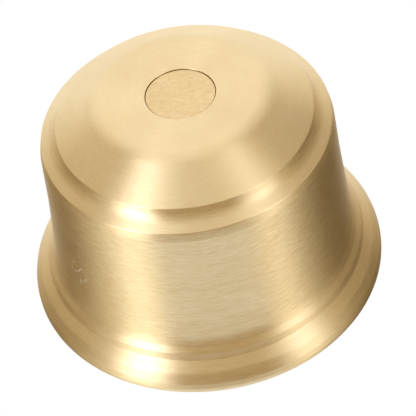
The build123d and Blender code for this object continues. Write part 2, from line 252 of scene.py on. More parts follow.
def remap(tree, value, low, high, newLow, newHigh):
    node = addNode(tree, "ShaderNodeMapRange", {"Value": value, "From Min": low, "From Max": high,
                                                "To Min": newLow, "To Max": newHigh})
    return node.outputs[0]


def newMaterial(name, metallic):
    material = bpy.data.materials.new(name)
    material.use_nodes = True
    tree = material.node_tree
    shader = tree.nodes["Principled BSDF"]
    shader.inputs["Metallic"].default_value = metallic
    coords = tree.nodes.new("ShaderNodeTexCoord").outputs["Object"]
    return material, tree, shader, coords


def turningStreaks(tree, coords, along, across, detail=3.0):
    # noise drawn out round the Z axis: along counts round the turn, across counts per metre
    x, y, z = addNode(tree, "ShaderNodeSeparateXYZ", {0: coords}).outputs
    squares = math2(tree, "ADD", math2(tree, "MULTIPLY", x, x), math2(tree, "MULTIPLY", y, y))
    radius = math2(tree, "SQRT", squares)
    safeRadius = math2(tree, "MAXIMUM", radius, 0.00005)     # no division by nothing on the axis
    unitX = math2(tree, "MULTIPLY_ADD", math2(tree, "DIVIDE", x, safeRadius), along, 0.37)
    unitY = math2(tree, "MULTIPLY_ADD", math2(tree, "DIVIDE", y, safeRadius), along, 0.61)
    outward = math2(tree, "MULTIPLY", radius, across)
    upward = math2(tree, "MULTIPLY", z, across)
    place = addNode(tree, "ShaderNodeCombineXYZ", {0: unitX, 1: unitY, 2: outward}).outputs[0]
    noise = addNode(tree, "ShaderNodeTexNoise", {
        "Vector": place, "W": upward, "Scale": 1.0, "Detail": detail, "Roughness": 0.6,
    }, noise_dimensions="4D")
    return noise.outputs[0]


def cloudNoise(tree, coords, scale, detail=3.0):
    noise = addNode(tree, "ShaderNodeTexNoise", {"Vector": coords, "Scale": scale, "Detail": detail})
    return noise.outputs[0]


def setBump(tree, shader, height, strength, distance):
    bump = addNode(tree, "ShaderNodeBump", {"Height": height, "Strength": strength,
                                            "Distance": distance * mm})
    tree.links.new(bump.outputs[0], shader.inputs["Normal"])


def wornEdges(tree, reach=0.35):
    # where the bevelled normal leaves the true one, an edge has been rubbed
    bevelled = addNode(tree, "ShaderNodeBevel", {"Radius": reach * mm}, samples=4).outputs[0]
    true = tree.nodes.new("ShaderNodeNewGeometry").outputs["Normal"]
    likeness = addNode(tree, "ShaderNodeVectorMath", {0: bevelled, 1: true}, operation="DOT_PRODUCT")
    return remap(tree, likeness.outputs["Value"], 0.90, 0.995, 1.0, 0.0)


satinLook = {
    "base": (0.86, 0.655, 0.345, 1), "pale": (0.95, 0.765, 0.450, 1), "deep": (0.75, 0.54, 0.24, 1),
    "roughness": 0.36, "broadRoughness": 0.12, "fineRoughness": 0.10, "anisotropy": 0.86,
    "streakAlong": 13.3, "streakAcross": 5000.0, "streakRange": (0.36, 0.64),
    "broadAlong": 2.2, "broadAcross": 900.0, "cloudScale": 70.0, "cloudRange": (0.35, 0.7),
    "cloudShow": 0.25,
    "wallPlain": 0.35, "topPlain": 0.78,      # the top is finished finer than the wall
    "edgeWear": 0.5, "grainStrength": 0.6, "grainDepth": 0.03,
    "scratchPlace": (-0.0224, -0.0136, 0.0162), "scratchReach": 0.0027, "scratchScale": 420.0,
    "scratchLine": (0.006, 0.020), "scratchColour": (1, 0.96, 0.88, 1), "scratchShow": 0.8,
    "scratchRoughness": 0.4, "scratchHeight": -1.5,
}


def makeScratches(tree, coords):
    # thin level lines of a noise, kept to one small patch low on the wall
    look = satinLook
    noise = cloudNoise(tree, coords, look["scratchScale"], 1.0)
    line = math2(tree, "ABSOLUTE", math2(tree, "SUBTRACT", noise, 0.5))
    thin = remap(tree, line, *look["scratchLine"], 1.0, 0.0)
    away = addNode(tree, "ShaderNodeVectorMath", {0: coords, 1: look["scratchPlace"]}, operation="DISTANCE")
    reach = look["scratchReach"]
    patch = remap(tree, away.outputs["Value"], reach * 0.6, reach, 1.0, 0.0)
    return math2(tree, "MULTIPLY", thin, patch)


def makeSatinBrass():
    look = satinLook
    material, tree, shader, coords = newMaterial("satinBrass", 1.0)
    fine = turningStreaks(tree, coords, look["streakAlong"], look["streakAcross"])
    broad = turningStreaks(tree, coords, look["broadAlong"], look["broadAcross"], detail=2.0)
    cloud = cloudNoise(tree, coords, look["cloudScale"])
    streaks = remap(tree, fine, *look["streakRange"], 0.0, 1.0)
    colour = mixColour(tree, streaks, look["deep"], look["pale"])
    normal = tree.nodes.new("ShaderNodeNewGeometry").outputs["Normal"]
    upward = addNode(tree, "ShaderNodeSeparateXYZ", {0: normal}).outputs[2]
    plain = remap(tree, upward, 0.1, 0.9, look["wallPlain"], look["topPlain"])
    colour = mixColour(tree, plain, colour, look["base"])
    tarnish = remap(tree, cloud, *look["cloudRange"], 0.0, look["cloudShow"])
    colour = mixColour(tree, tarnish, colour, look["deep"])
    rubbed = math2(tree, "MULTIPLY", wornEdges(tree), look["edgeWear"])
    colour = mixColour(tree, rubbed, colour, look["pale"])
    scratch = makeScratches(tree, coords)
    shown = math2(tree, "MULTIPLY", scratch, look["scratchShow"])
    colour = mixColour(tree, shown, colour, look["scratchColour"])
    tree.links.new(colour, shader.inputs["Base Color"])
    rough = look["roughness"]
    for noise, amount in ((broad, look["broadRoughness"]), (fine, look["fineRoughness"])):
        rough = math2(tree, "MULTIPLY_ADD", math2(tree, "SUBTRACT", noise, 0.5), amount, rough)
    rough = math2(tree, "MULTIPLY_ADD", scratch, look["scratchRoughness"], rough)
    tree.links.new(rough, shader.inputs["Roughness"])
    shader.inputs["Anisotropic"].default_value = look["anisotropy"]
    shader.inputs["Anisotropic Rotation"].default_value = 0.25
    tangent = addNode(tree, "ShaderNodeTangent", {}, direction_type="RADIAL", axis="Z")
    tree.links.new(tangent.outputs[0], shader.inputs["Tangent"])
    relief = math2(tree, "MULTIPLY", fine, math2(tree, "SUBTRACT", 1.2, plain))
    marked = math2(tree, "MULTIPLY_ADD", scratch, look["scratchHeight"], relief)
    setBump(tree, shader, marked, look["grainStrength"], look["grainDepth"])
    return material


discBrassLook = {
    "pale": (0.88, 0.67, 0.36, 1), "deep": (0.68, 0.48, 0.21, 1), "roughness": 0.42,
    "rubTurn": -24, "rubScale": (700, 3600, 700), "rubWander": 1.4, "rubHeight": 0.8,
    "pitScale": 2600.0, "pitHeight": 0.4, "cloudScale": 180.0, "cloudShow": 0.4,
    "grainStrength": 0.5, "grainDepth": 0.03,
}


def makeDiscBrass():
    # straight rubbing marks with a fine pitted grain
    look = discBrassLook
    material, tree, shader, coords = newMaterial("discBrass", 1.0)
    turned = addNode(tree, "ShaderNodeMapping", {
        "Vector": coords, "Rotation": (0, 0, math.radians(look["rubTurn"])), "Scale": look["rubScale"],
    }).outputs[0]
    rub = addNode(tree, "ShaderNodeTexNoise", {
        "Vector": turned, "Scale": 1.0, "Detail": 3.0, "Distortion": look["rubWander"],
    }).outputs[0]
    pits = cloudNoise(tree, coords, look["pitScale"], 2.0)
    cloud = cloudNoise(tree, coords, look["cloudScale"])
    height = math2(tree, "ADD", math2(tree, "MULTIPLY", rub, look["rubHeight"]),
                   math2(tree, "MULTIPLY", pits, look["pitHeight"]))
    colour = mixColour(tree, remap(tree, height, 0.42, 0.78, 0.0, 1.0), look["deep"], look["pale"])
    tarnish = remap(tree, cloud, 0.35, 0.7, 0.0, look["cloudShow"])
    colour = mixColour(tree, tarnish, colour, look["deep"])
    tree.links.new(colour, shader.inputs["Base Color"])
    rough = remap(tree, pits, 0.2, 0.8, look["roughness"] - 0.1, look["roughness"] + 0.12)
    tree.links.new(rough, shader.inputs["Roughness"])
    setBump(tree, shader, height, look["grainStrength"], look["grainDepth"])
    return material


# along and across say how long and how fine the tool marks are
metalLooks = {
    "turnedBrass": {"pale": (0.88, 0.68, 0.36, 1), "deep": (0.70, 0.49, 0.20, 1), "roughness": 0.27,
                    "grain": 0.25, "along": 4.0, "across": 3200.0},
    "brightSteel": {"pale": (0.72, 0.72, 0.71, 1), "deep": (0.52, 0.52, 0.52, 1), "roughness": 0.22,
                    "grain": 0.12, "along": 3.0, "across": 3800.0},
    "springSteel": {"pale": (0.50, 0.49, 0.48, 1), "deep": (0.22, 0.21, 0.21, 1), "roughness": 0.34,
                    "grain": 0.15, "along": 24.0, "across": 2600.0},
    "zincSteel": {"pale": (0.74, 0.75, 0.78, 1), "deep": (0.52, 0.54, 0.58, 1), "roughness": 0.30,
                  "grain": 0.10, "along": 6.0, "across": 1400.0},
}


def makeTurnedMetal(name):
    # tool marks round the Z axis, a tarnish cloud and brighter worn edges
    look = metalLooks[name]
    material, tree, shader, coords = newMaterial(name, 1.0)
    marks = turningStreaks(tree, coords, look["along"], look["across"])
    cloud = cloudNoise(tree, coords, 160.0)
    colour = mixColour(tree, remap(tree, cloud, 0.35, 0.7, 0.0, 1.0), look["pale"], look["deep"])
    colour = mixColour(tree, 0.55, colour, look["pale"])
    colour = mixColour(tree, remap(tree, marks, 0.3, 0.7, 0.0, 0.45), colour, look["deep"])
    colour = mixColour(tree, math2(tree, "MULTIPLY", wornEdges(tree), 0.7), colour, look["pale"])
    tree.links.new(colour, shader.inputs["Base Color"])
    rough = remap(tree, marks, 0.25, 0.75, look["roughness"] - 0.06, look["roughness"] + 0.08)
    tree.links.new(rough, shader.inputs["Roughness"])
    setBump(tree, shader, marks, look["grain"], 0.02)
    return material


# weave is the fineness of a cloth under the rubber, or 0 for none
softLooks = {
    "blackRubber": {"pale": (0.045, 0.044, 0.043, 1), "deep": (0.018, 0.018, 0.018, 1),
                    "roughness": 0.55, "grainScale": 1800.0, "grain": 0.2, "weave": 0},
    "clothRubber": {"pale": (0.11, 0.085, 0.075, 1), "deep": (0.030, 0.026, 0.025, 1),
                    "roughness": 0.62, "grainScale": 900.0, "grain": 0.5, "weave": 7000.0},
    "whiteAcetal": {"pale": (0.84, 0.83, 0.79, 1), "deep": (0.74, 0.73, 0.68, 1), "roughness": 0.38,
                    "grainScale": 700.0, "grain": 0.08, "weave": 0},
}


def makeSoft(name):
    look = softLooks[name]
    material, tree, shader, coords = newMaterial(name, 0.0)
    speck = cloudNoise(tree, coords, look["grainScale"])
    cloud = cloudNoise(tree, coords, 120.0)
    height = speck
    if look["weave"]:
        scaled = addNode(tree, "ShaderNodeMapping", {"Vector": coords, "Scale": (look["weave"],) * 3})
        threads = addNode(tree, "ShaderNodeSeparateXYZ", {0: scaled.outputs[0]}).outputs
        crossing = math2(tree, "MULTIPLY", math2(tree, "SINE", threads[0]), math2(tree, "SINE", threads[1]))
        height = math2(tree, "MULTIPLY_ADD", crossing, 0.5, speck)
    colour = mixColour(tree, remap(tree, height, 0.2, 0.8, 0.0, 1.0), look["deep"], look["pale"])
    colour = mixColour(tree, remap(tree, cloud, 0.4, 0.7, 0.0, 0.5), colour, look["deep"])
    tree.links.new(colour, shader.inputs["Base Color"])
    rough = remap(tree, speck, 0.2, 0.8, look["roughness"] - 0.1, look["roughness"] + 0.1)
    tree.links.new(rough, shader.inputs["Roughness"])
    setBump(tree, shader, height, look["grain"], 0.04)
    return material


satinBrass = makeSatinBrass()
discBrass = makeDiscBrass()
turnedBrass = makeTurnedMetal("turnedBrass")
brightSteel = makeTurnedMetal("brightSteel")
springSteel = makeTurnedMetal("springSteel")
zincSteel = makeTurnedMetal("zincSteel")
blackRubber = makeSoft("blackRubber")
clothRubber = makeSoft("clothRubber")
whiteAcetal = makeSoft("whiteAcetal")
print("materials made")

# distances are in flange radii, the turn is in degrees
cameraLook = {"away": 7.3025, "above": 8.174, "aimAcross": 0.043, "aimUp": 0.3866, "turn": -9.70,
              "lens": 163.7, "sensor": 36}


def addCamera():
    startClean()
    unit = flangeRadius * mm
    place = Vector((0, -cameraLook["away"], cameraLook["above"])) * unit
    aim = Vector((cameraLook["aimAcross"], 0, cameraLook["aimUp"])) * unit
    forward = (aim - place).normalized()
    right = forward.cross(Vector((0, 0, 1))).normalized()
    up = right.cross(forward)
    turn = math.radians(cameraLook["turn"])
    tiltedRight = math.cos(turn) * right + math.sin(turn) * up
    tiltedUp = math.cos(turn) * up - math.sin(turn) * right
    bpy.ops.object.camera_add(location=place)
    camera = bpy.context.object
    camera.name = "studioCamera"
    camera.rotation_euler = Matrix((tiltedRight, tiltedUp, -forward)).transposed().to_euler()
    camera.data.lens = cameraLook["lens"]
    camera.data.sensor_width = cameraLook["sensor"]
    camera.data.clip_start = 0.01
    bpy.context.scene.camera = camera
    print("camera placed")


addCamera()

# pairs are (radius, height)
bellLook = {
    "plugHole": 6.1, "plugHoleFloor": 39.35, "crownEdge": 14.55, "crownRounding": 6.5,
    "coneFoot": (22.35, 36.9), "cove": (22.95, 35.4), "shoulder": (25.3, 34.0),
    "wallTop": (25.66, 32.4), "wallMiddle": (26.1, 23.0), "wallFoot": (26.9, 12.6),
    "sweep": (27.35, 8.9), "hollow": (27.85, 7.6), "bead": (28.65, 6.6), "step": (29.0, 5.35),
    "lipCorner": (30.75, 3.75), "lipSide": (31.75, 2.0), "lipHeight": 1.0, "reliefOuter": 29.6,
    "reliefInner": 26.0, "reliefTop": 2.6, "mouth": 24.9, "threadRoot": 24.65, "threadCrest": 24.02,
    "threadBottom": 0.4, "threadTop": 10.8, "pitch": 1.5, "firstTurn": 1.0, "threadTurns": 6,
    "bore": 24.0, "boreBottom": 11.3, "ledge": 18.1, "cavity": 22.8, "cavityTop": 31.2,
    "roofEdge": (20.4, 34.3), "roofMiddle": (13.6, 38.4), "boss": 6.5, "bossBottom": 31.5,
    "screwHole": 4.03,
}


def makeBell():
    k = bellLook
    top = bellHeight
    piece = lathe("bell", [
        (k["plugHole"], k["plugHoleFloor"], 0), (k["plugHole"], top, 0.1),
        (k["crownEdge"], top, k["crownRounding"]), (*k["coneFoot"], 0.3), (*k["cove"], 3.9),
        (*k["shoulder"], 0.35), (*k["wallTop"], 2.0), (*k["wallMiddle"], 80), (*k["wallFoot"], 40),
        (*k["sweep"], 6), (*k["hollow"], 1.2), (*k["bead"], 0.5), (*k["step"], 0.5),
        (*k["lipCorner"], 2.6), (*k["lipSide"], 1.2), (flangeRadius, k["lipHeight"], 0.8),
        (flangeRadius, 0, 0.35), (k["reliefOuter"], 0, 0.1), (k["reliefOuter"], k["reliefTop"], 0.3),
        (k["reliefInner"], k["reliefTop"], 0.3), (k["reliefInner"], 0, 0.1), (k["mouth"], 0, 0.05),
        (k["threadRoot"], k["threadBottom"], 0.05), (k["threadRoot"], k["threadTop"], 0.2),
        (k["bore"], k["boreBottom"], 0.1), (k["bore"], k["ledge"], 0.02),
        (k["cavity"], k["ledge"], 0.1), (k["cavity"], k["cavityTop"], 1.5), (*k["roofEdge"], 1),
        (*k["roofMiddle"], 1), (k["boss"], k["roofMiddle"][1], 0.5), (k["boss"], k["bossBottom"], 0.2),
        (k["screwHole"], k["bossBottom"], 0.25), (k["screwHole"], k["plugHoleFloor"], 0.1),
        (k["plugHole"], k["plugHoleFloor"], 0),
    ], steps=256)
    joinTo(piece, threadRidge("bellThread", k["threadRoot"], k["threadCrest"], k["pitch"],
                              k["firstTurn"], k["threadTurns"], steps=192))
    finishPiece(piece, "bell", "bell_housing", satinBrass, 40)


makeBell()


def ringSection(meanRadius, height, wire):
    # a square whose corners are rounded right round to a circle
    out, inn = meanRadius + wire, meanRadius - wire
    return [(out, height, 0), (out, height + wire, wire), (inn, height + wire, wire),
            (inn, height - wire, wire), (out, height - wire, wire), (out, height, 0)]


# name: mean radius, height, wire radius, body
sealLook = {
    "top_plug_ring": (5.62, 40.35, 0.4, "top_plug"), "body_ring": (23.05, 12.6, 0.88, "base"),
    "valve_seat_ring": (5.56, 13.3, 0.4, "base"), "bottom_plug_ring": (4.56, 2.75, 0.4, "base"),
}


def makeSeals():
    for node, (meanRadius, height, wire, body) in sealLook.items():
        steps = 160 if meanRadius > 20 else 72
        ring = lathe(node + "_piece", ringSection(meanRadius, height, wire), steps=steps)
        finishPiece(ring, body, node, blackRubber)


makeSeals()

plugLook = {"radius": 6.0, "recess": 0.15, "thickness": 2.0, "grooveFloor": 5.15, "grooveHalf": 0.47,
            "hollow": 3.0, "hollowDepth": 0.8}


def makeTopPlug():
    k = plugLook
    top = bellHeight - k["recess"]
    bottom = top - k["thickness"]
    middle = (top + bottom) / 2
    low, high = middle - k["grooveHalf"], middle + k["grooveHalf"]
    roof = bottom + k["hollowDepth"]
    plug = lathe("topPlug", [
        (0, roof, 0), (k["hollow"], roof, 0.2), (k["hollow"], bottom, 0.1), (k["radius"], bottom, 0.3),
        (k["radius"], low, 0.03), (k["grooveFloor"], low, 0.05), (k["grooveFloor"], high, 0.05),
        (k["radius"], high, 0.03), (k["radius"], top, 0.09), (0, top, 0),
    ], steps=128)
    finishPiece(plug, "top_plug", "top_plug", discBrass)


makeTopPlug()

screwLook = {"root": 3.42, "crest": 3.95, "pitch": 1.25, "firstTurn": 31.3, "turns": 5, "bottom": 30.4,
             "threadBottom": 30.9, "threadTop": 38.4, "top": 39.0, "endRadius": 2.9, "footRadius": 2.95,
             "cupRadius": 1.56, "cupTop": 31.42, "socket": 4.0, "socketFloor": 35.5}


def makeAdjustingScrew():
    k = screwLook
    screw = lathe("adjustingScrew", [
        (0, k["cupTop"], 0), (1.2, 31.1, 1.2), (k["cupRadius"], k["bottom"], 0.05),
        (k["footRadius"], k["bottom"], 0.1), (k["root"], k["threadBottom"], 0.1),
        (k["root"], k["threadTop"], 0.1), (k["endRadius"], k["top"], 0.1), (0, k["top"], 0),
    ], steps=72)
    # a cone at 45 degrees breaks the socket's edge
    mouth = lathe("mouth", [(0, k["top"] + 0.5, 0), (2.9, k["top"] + 0.5, 0), (1.9, k["top"] - 0.5, 0),
                            (0, k["top"] - 0.5, 0)], steps=48)
    carve(screw, prism("socket", 6, k["socket"] / math.sqrt(3), k["socketFloor"], k["top"] + 1), mouth)
    joinTo(screw, threadRidge("screwThread", k["root"], k["crest"], k["pitch"], k["firstTurn"],
                              k["turns"], steps=72))
    finishPiece(screw, "adjusting_screw", "adjusting_screw", turnedBrass)


makeAdjustingScrew()

capLook = {"cupOuter": 8.4, "cupInner": 7.2, "floor": 28.0, "cupFloor": 29.2, "flangeBottom": 33.0,
           "flangeTop": 34.2, "rim": 12.4, "rimThickness": 0.7, "rimBottom": 31.8, "ballHollow": 1.54,
           "ballRadius": 1.6, "ballCentre": 29.8}


def makeSpringCap():
    k = capLook
    rimInner = k["rim"] - k["rimThickness"]
    cap = lathe("springCap", [
        (0, k["floor"], 0), (k["cupOuter"], k["floor"], 0.9), (k["cupOuter"], k["flangeBottom"], 0.5),
        (rimInner, k["flangeBottom"], 0.2), (rimInner, k["rimBottom"], 0.1),
        (k["rim"], k["rimBottom"], 0.1), (k["rim"], k["flangeTop"], 0.7),
        (k["cupInner"], k["flangeTop"], 0.7), (k["cupInner"], k["cupFloor"], 0.6),
        (k["ballHollow"], k["cupFloor"], 0.05), (1.3, 28.62, 0.6), (0, 28.17, 0),
    ], steps=128)
    finishPiece(cap, "spring_cap", "spring_cap", zincSteel)
    r, z = k["ballRadius"], k["ballCentre"]
    ball = lathe("thrustBall", [(0, z - r, 0), (r, z - r, r), (r, z + r, r), (0, z + r, 0)], steps=48)
    finishPiece(ball, "spring_cap", "thrust_ball", brightSteel)


makeSpringCap()


def windSpring(name, k, sides=14, stepsPerTurn=32):
    # closed coils at both ends, open coils between, and both ends ground flat
    bottom, top, wire, endTurns = k["bottom"], k["top"], k["wire"], k["endTurns"]
    sink = wire * 0.25
    closedPitch = wire * 1.03
    closedCoil = (endTurns, endTurns * closedPitch)
    openCoil = (k["openTurns"], top - bottom - 2 * sink - 2 * endTurns * closedPitch)
    startClean()
    bpy.ops.mesh.primitive_circle_add(vertices=sides, radius=wire / 2 * mm, fill_type="NGON",
                                      location=(k["meanRadius"] * mm, 0, (bottom + sink) * mm),
                                      rotation=(math.pi / 2, 0, 0))
    spring = bpy.context.object
    nameIt(spring, name)
    bpy.ops.object.transform_apply(location=True, rotation=True, scale=True)
    bpy.ops.object.mode_set(mode="EDIT")
    bpy.ops.mesh.select_all(action="SELECT")
    for turns, rise in (closedCoil, openCoil, closedCoil):
        steps = round(turns * stepsPerTurn)
        for _ in range(steps):
            bpy.ops.mesh.extrude_region_move(TRANSFORM_OT_translate={"value": (0, 0, rise / steps * mm)})
            bpy.ops.transform.rotate(value=2 * math.pi * turns / steps, orient_axis="Z",
                                     center_override=(0, 0, 0))
    for height, way in ((bottom, -1), (top, 1)):
        bpy.ops.mesh.select_all(action="SELECT")
        bpy.ops.mesh.bisect(plane_co=(0, 0, (height - way * 0.03) * mm), plane_no=(0, 0, way),
                            use_fill=True, clear_outer=True)
    bpy.ops.mesh.select_all(action="SELECT")
    bpy.ops.mesh.normals_make_consistent(inside=False)
    bpy.ops.object.mode_set(mode="OBJECT")
    return spring


def keepSide(piece, height, way):
    pickOnly(piece)
    bpy.ops.object.mode_set(mode="EDIT")
    bpy.ops.mesh.select_all(action="SELECT")
    bpy.ops.mesh.bisect(plane_co=(0, 0, height * mm), plane_no=(0, 0, way),
                        use_fill=True, clear_outer=True)
    bpy.ops.object.mode_set(mode="OBJECT")


rangeLook = {"bottom": 18.5, "top": 33.0, "meanRadius": 10.4, "wire": 1.8, "endTurns": 0.8,
             "openTurns": 3.3, "screwTravel": 3.125, "stemTravel": 1.15}


def makeRangeSpring():
    # the halves meet at mid height; both are attached to the base
    k = rangeLook
    lower = windSpring("rangeSpringLower", k)
    pickOnly(lower)
    bpy.ops.object.duplicate()
    upper = bpy.context.object
    nameIt(upper, "rangeSpringUpper")
    middle = (k["bottom"] + k["top"]) / 2
    for half, way, joint, moved in ((lower, 1, "stem_slide", k["stemTravel"]),
                                    (upper, -1, "screw_advance", k["screwTravel"])):
        keepSide(half, middle, way)
        finishPiece(half, "base", "range_spring", springSteel, 50)
        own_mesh(half)


makeRangeSpring()

returnLook = {"bottom": 3.6, "top": 7.2, "meanRadius": 3.65, "wire": 0.6, "endTurns": 0.7, "openTurns": 2.2}


def makeReturnSpring():
    k = returnLook
    spring = windSpring("returnSpring", k, sides=10, stepsPerTurn=28)
    finishPiece(spring, None, "return_spring", brightSteel, 50)
    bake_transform(spring)


makeReturnSpring()

# crest is the rolled fold's mean radius; each arc is (height of its centre, radius, half width)
diaphragmLook = {"under": 16.5, "over": 17.3, "edge": 23.7, "hole": 1.27, "crest": 16.2,
                 "foldTop": 19.6, "underArc": (15.836, 3.464, 3.4), "overArc": (16.386, 3.714, 3.6),
                 "arcSteps": 12}


def foldArc(arc, side, inward):
    # half of the fold's section, from its crest to its foot, or back to the crest
    k = diaphragmLook
    centre, radius, halfWidth = arc
    last = math.asin(halfWidth / radius)
    points = []
    for step in range(k["arcSteps"] + 1):
        angle = last * step / k["arcSteps"]
        points.append((k["crest"] + side * radius * math.sin(angle), centre + radius * math.cos(angle), 0))
    return points[::-1] if inward else points


def makeDiaphragm():
    k = diaphragmLook
    for name, side, end in (("diaphragmOuter", 1, k["edge"]), ("diaphragmInner", -1, k["hole"])):
        under, over = foldArc(k["underArc"], side, False), foldArc(k["overArc"], side, True)
        rim = [(end, k["under"], 0.1), (end, k["over"], 0.1)]
        half = lathe(name, under + rim + over + under[:1], steps=144)
        finishPiece(half, "base" if side == 1 else None, "diaphragm", clothRubber)
        if side == -1:
            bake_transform(half)


makeDiaphragm()

# name: outline of (radius, height, rounding), body, node, slot, material
stackLook = {
    "slipRing": ([
        (20.4, 17.7, 0), (20.4, 18.1, 0.15), (23.7, 18.1, 0.15), (23.7, 17.3, 0.1), (20.4, 17.3, 0.1),
        (20.4, 17.7, 0),
    ], "base", "slip_ring", "plastic_white", whiteAcetal),
    "diaphragmPlate": ([
        (1.3, 17.9, 0), (1.3, 17.3, 0.05), (12.3, 17.3, 0.5), (12.3, 20.0, 0.25), (11.6, 20.0, 0.2),
        (11.6, 18.5, 0.4), (1.3, 18.5, 0.05), (1.3, 17.9, 0),
    ], "stem", "diaphragm_plate", "steel_zinc", zincSteel),
    "diaphragmButton": ([
        (1.3, 16.0, 0), (1.3, 15.6, 0.05), (10.8, 15.6, 0.4), (10.8, 16.5, 0.1), (1.3, 16.5, 0.05),
        (1.3, 16.0, 0),
    ], "stem", "diaphragm_button", "brass_machined", turnedBrass),
    "poppetHolder": ([
        (1.27, 8.0, 0), (1.27, 7.2, 0.1), (4.3, 7.2, 0.3), (4.3, 10.3, 0.15), (3.52, 10.3, 0.08),
        (3.52, 8.9, 0.05), (1.27, 8.9, 0.05), (1.27, 8.0, 0),
    ], "stem", "poppet_holder", "brass_machined", turnedBrass),
    "seatDisc": ([
        (1.27, 9.6, 0), (1.27, 8.9, 0.05), (3.5, 8.9, 0.1), (3.5, 10.3, 0.2), (1.27, 10.3, 0.1),
        (1.27, 9.6, 0),
    ], "stem", "seat_disc", "rubber_black", blackRubber),
}


def makeStack():
    for name, (outline, body, node, slot, material) in stackLook.items():
        finishPiece(lathe(name, outline, steps=144), body, node, material)


makeStack()

stemLook = {"radius": 1.25, "threadRoot": 1.02, "pitch": 0.5, "bottom": 5.4, "shankBottom": 7.4,
            "collarBottom": 14.9, "collarTop": 15.6, "collar": 2.1, "shankTop": 18.5, "top": 22.0,
            "threads": {"stemThread": (19.1, 5), "stemThreadLow": (5.7, 2)}}     # first turn, turns


def makeStem():
    k = stemLook
    root, radius, collar = k["threadRoot"], k["radius"], k["collar"]
    stem = lathe("valveStem", [
        (0, k["bottom"], 0), (root, k["bottom"], 0.2), (root, 7.2, 0.05),
        (radius, k["shankBottom"], 0.05), (radius, k["collarBottom"], 0.05),
        (collar, k["collarBottom"], 0.12), (collar, k["collarTop"], 0.12),
        (radius, k["collarTop"], 0.05), (radius, k["shankTop"], 0.05), (root, 18.8, 0.05),
        (root, k["top"], 0.25), (0, k["top"], 0),
    ], steps=48)
    joinTo(stem, *[threadRidge(name, root, radius, k["pitch"], firstTurn, turns, steps=32)
                   for name, (firstTurn, turns) in k["threads"].items()])
    finishPiece(stem, "stem", "valve_stem", brightSteel)


# name: across flats, bottom, top, node; the hole's radius is the same in both
nutLook = {"poppetNut": (5.0, 5.6, 7.2, "poppet_nut"), "stemNut": (5.5, 19.0, 21.4, "stem_nut")}
nutHole = 1.27
nutChamfer = 0.28


def makeNuts():
    # each prism's corners are rubbed off by a turned form
    for name, (across, bottom, top, node) in nutLook.items():
        nut = prism(name, 6, across / math.sqrt(3), bottom, top)
        corner, face = across / math.sqrt(3) + 0.05, across / 2 - 0.05
        form = lathe("nutForm", [
            (0, bottom - 0.01, 0), (face, bottom - 0.01, 0), (corner, bottom + nutChamfer, 0),
            (corner, top - nutChamfer, 0), (face, top + 0.01, 0), (0, top + 0.01, 0),
        ], steps=72)
        carve(nut, form, operation="INTERSECT")
        carve(nut, prism("nutHole", 40, nutHole, bottom - 1, top + 1))
        finishPiece(nut, "stem", node, brightSteel, 25)


makeStem()
makeNuts()

washerLook = {"inner": 1.3, "outer": 3.3, "bottom": 18.5, "top": 19.0, "slit": 8}


def makeSplitWasher():
    k = washerLook
    washer = lathe("lockWasher", [
        (k["inner"], k["bottom"] + 0.2, 0), (k["inner"], k["bottom"], 0.05),
        (k["outer"], k["bottom"], 0.08), (k["outer"], k["top"], 0.08), (k["inner"], k["top"], 0.05),
        (k["inner"], k["bottom"] + 0.2, 0),
    ], steps=72, angle=360 - k["slit"], start=40)
    finishPiece(washer, "stem", "lock_washer", brightSteel)


makeSplitWasher()

# grooves and wells are (bottom, top, radius) or (radius, top), angles are in degrees
bodyLook = {
    "radius": 23.95, "top": 16.5, "underEdge": 22.9, "ringGroove": (11.5, 13.7, 22.15),
    "shoulder": 10.9, "threadRoot": 23.2, "threadCrest": 23.92, "threadBottom": 0.4, "threadTop": 10.4,
    "pitch": 1.5, "firstTurn": 1.1, "threadTurns": 6, "chamber": 20.4, "chamberFloor": 14.0,
    "valveBore": 5.0, "seatBore": 6.0, "seatFloor": 12.0, "portOffset": 14.2, "portRoot": 8.33,
    "portCrest": 7.62, "portPitch": 1.337, "portFirstTurn": 0.85, "portTurns": 5, "portThreadTop": 7.7,
    "portFloor": (7.4, 8.3), "strainerSeat": (6.6, 9.6), "inletWell": (5.6, 11.4),
    "outletWay": (3.0, 15), "passageRadius": 0.9, "passageHeight": 10.5, "passageAngles": (-12, 0, 12),
    "fixingOffset": 17.0, "fixingRoot": 2.0, "fixingCrest": 1.68, "fixingPitch": 0.7,
    "fixingFirstTurn": 0.75, "fixingTurns": 9, "fixingDepth": 7.4, "fixingTip": 8.2,
}


